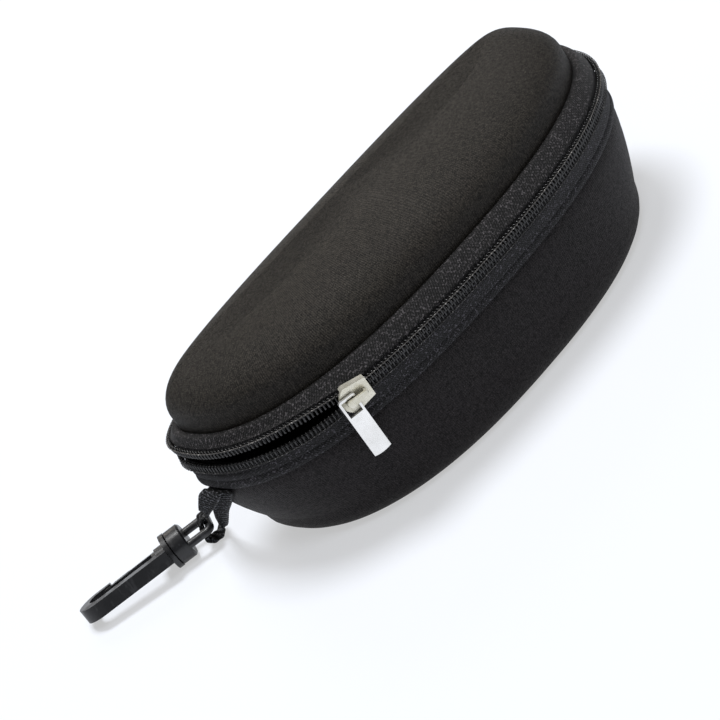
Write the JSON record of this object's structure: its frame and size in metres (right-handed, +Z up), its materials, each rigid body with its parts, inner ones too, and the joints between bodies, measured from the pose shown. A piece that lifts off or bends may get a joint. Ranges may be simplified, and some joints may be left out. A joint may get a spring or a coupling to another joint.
{
  "type": "eyeglasses case",
  "caption": "Moulded zip eyeglasses case: two padded half shells on a fabric hinge, a coil zip with slider and pull, and a webbing loop with a plastic swivel snap hook.",
  "frame": {"origin": "on the floor under the case's widest line, at mid length, in the middle of the flat foot", "axes": "+X along the case to the closed end of the zip, -Y to the bowed front, +Z up through the lid"},
  "size_m": [0.1999, 0.0985, 0.0603],
  "materials": {
    "jersey": "fine knit jersey, matt",
    "foam": "moulded closed-cell foam",
    "plush": "short brushed plush",
    "binding": "grosgrain",
    "tape": "twill woven tape",
    "coil": "glossy moulded filament",
    "stitching": "chain stitch thread",
    "slider_metal": "warm nickel enamel, worn",
    "pull_metal": "pale enamel, satin",
    "webbing": "ribbed webbing",
    "hook_plastic": "satin gloss moulded plastic"
  },
  "bodies": {
    "base": {"base_cover": "jersey", "base_foam": "foam", "base_lining": "plush", "base_binding": "binding", "lower_tape": "tape", "lower_coil": "coil", "lower_stitching": "stitching", "lower_end_stop": "coil", "closed_end_stop": "coil", "hinge_strip": "tape", "hinge_lining": "binding"},
    "lid": {"lid_cover": "jersey", "lid_foam": "foam", "lid_lining": "plush", "lid_binding": "binding", "upper_tape": "tape", "upper_coil": "coil", "upper_stitching": "stitching", "upper_end_stop": "coil"},
    "slider": {"slider_body": "slider_metal", "slider_crown": "slider_metal"},
    "pull": {"pull_tab": "pull_metal"},
    "strap": {"webbing_loop": "webbing"},
    "swivel": {"swivel_eye": "hook_plastic"},
    "hook": {"hook_body": "hook_plastic"},
    "gate": {"hook_gate": "hook_plastic"}
  },
  "joints": [
    {"name": "lid_hinge", "type": "hinge", "parent": "base", "child": "lid", "pos_m": [0, 0.0266, 0.0391], "axis": [-1, 0, 0], "range_deg": [0, 120], "deforming": ["hinge_strip", "hinge_lining", "upper_tape", "upper_coil", "upper_stitching", "lower_tape", "lower_coil", "lower_stitching", "closed_end_stop"]},
    {"name": "slider_travel", "type": "hinge", "parent": "base", "child": "slider", "pos_m": [0, 0.1432, 0.0391], "axis": [0, 0, 1], "range_deg": [-1.5, 29], "deforming": ["upper_tape", "upper_coil", "upper_stitching", "lower_tape", "lower_coil", "lower_stitching"]},
    {"name": "pull_swing", "type": "hinge", "parent": "slider", "child": "pull", "pos_m": [-0.05343, -0.0426, 0.0391], "axis": [-0.345, -0.9386, 0], "range_deg": [-220, 44]},
    {"name": "strap_swing", "type": "hinge", "parent": "base", "child": "strap", "pos_m": [-0.08205, -0.0025, 0.0286], "axis": [0, 1, 0], "range_deg": [0, 100]},
    {"name": "eye_tilt", "type": "hinge", "parent": "strap", "child": "swivel", "pos_m": [-0.07803, 0.02631, 0.00618], "axis": [0.454, 0.891, 0], "range_deg": [-100, 25]},
    {"name": "hook_swivel", "type": "hinge", "parent": "swivel", "child": "hook", "pos_m": [-0.0888, 0.0318, 0.00555], "axis": [-0.8898, 0.4534, -0.0523], "continuous": true},
    {"name": "gate_flex", "type": "hinge", "parent": "hook", "child": "gate", "pos_m": [-0.09131, 0.03847, 0.00371], "axis": [0.0959, 0.2979, 0.9498], "range_deg": [0, 12], "stiffness_Nm_per_rad": 0.3}
  ]
}
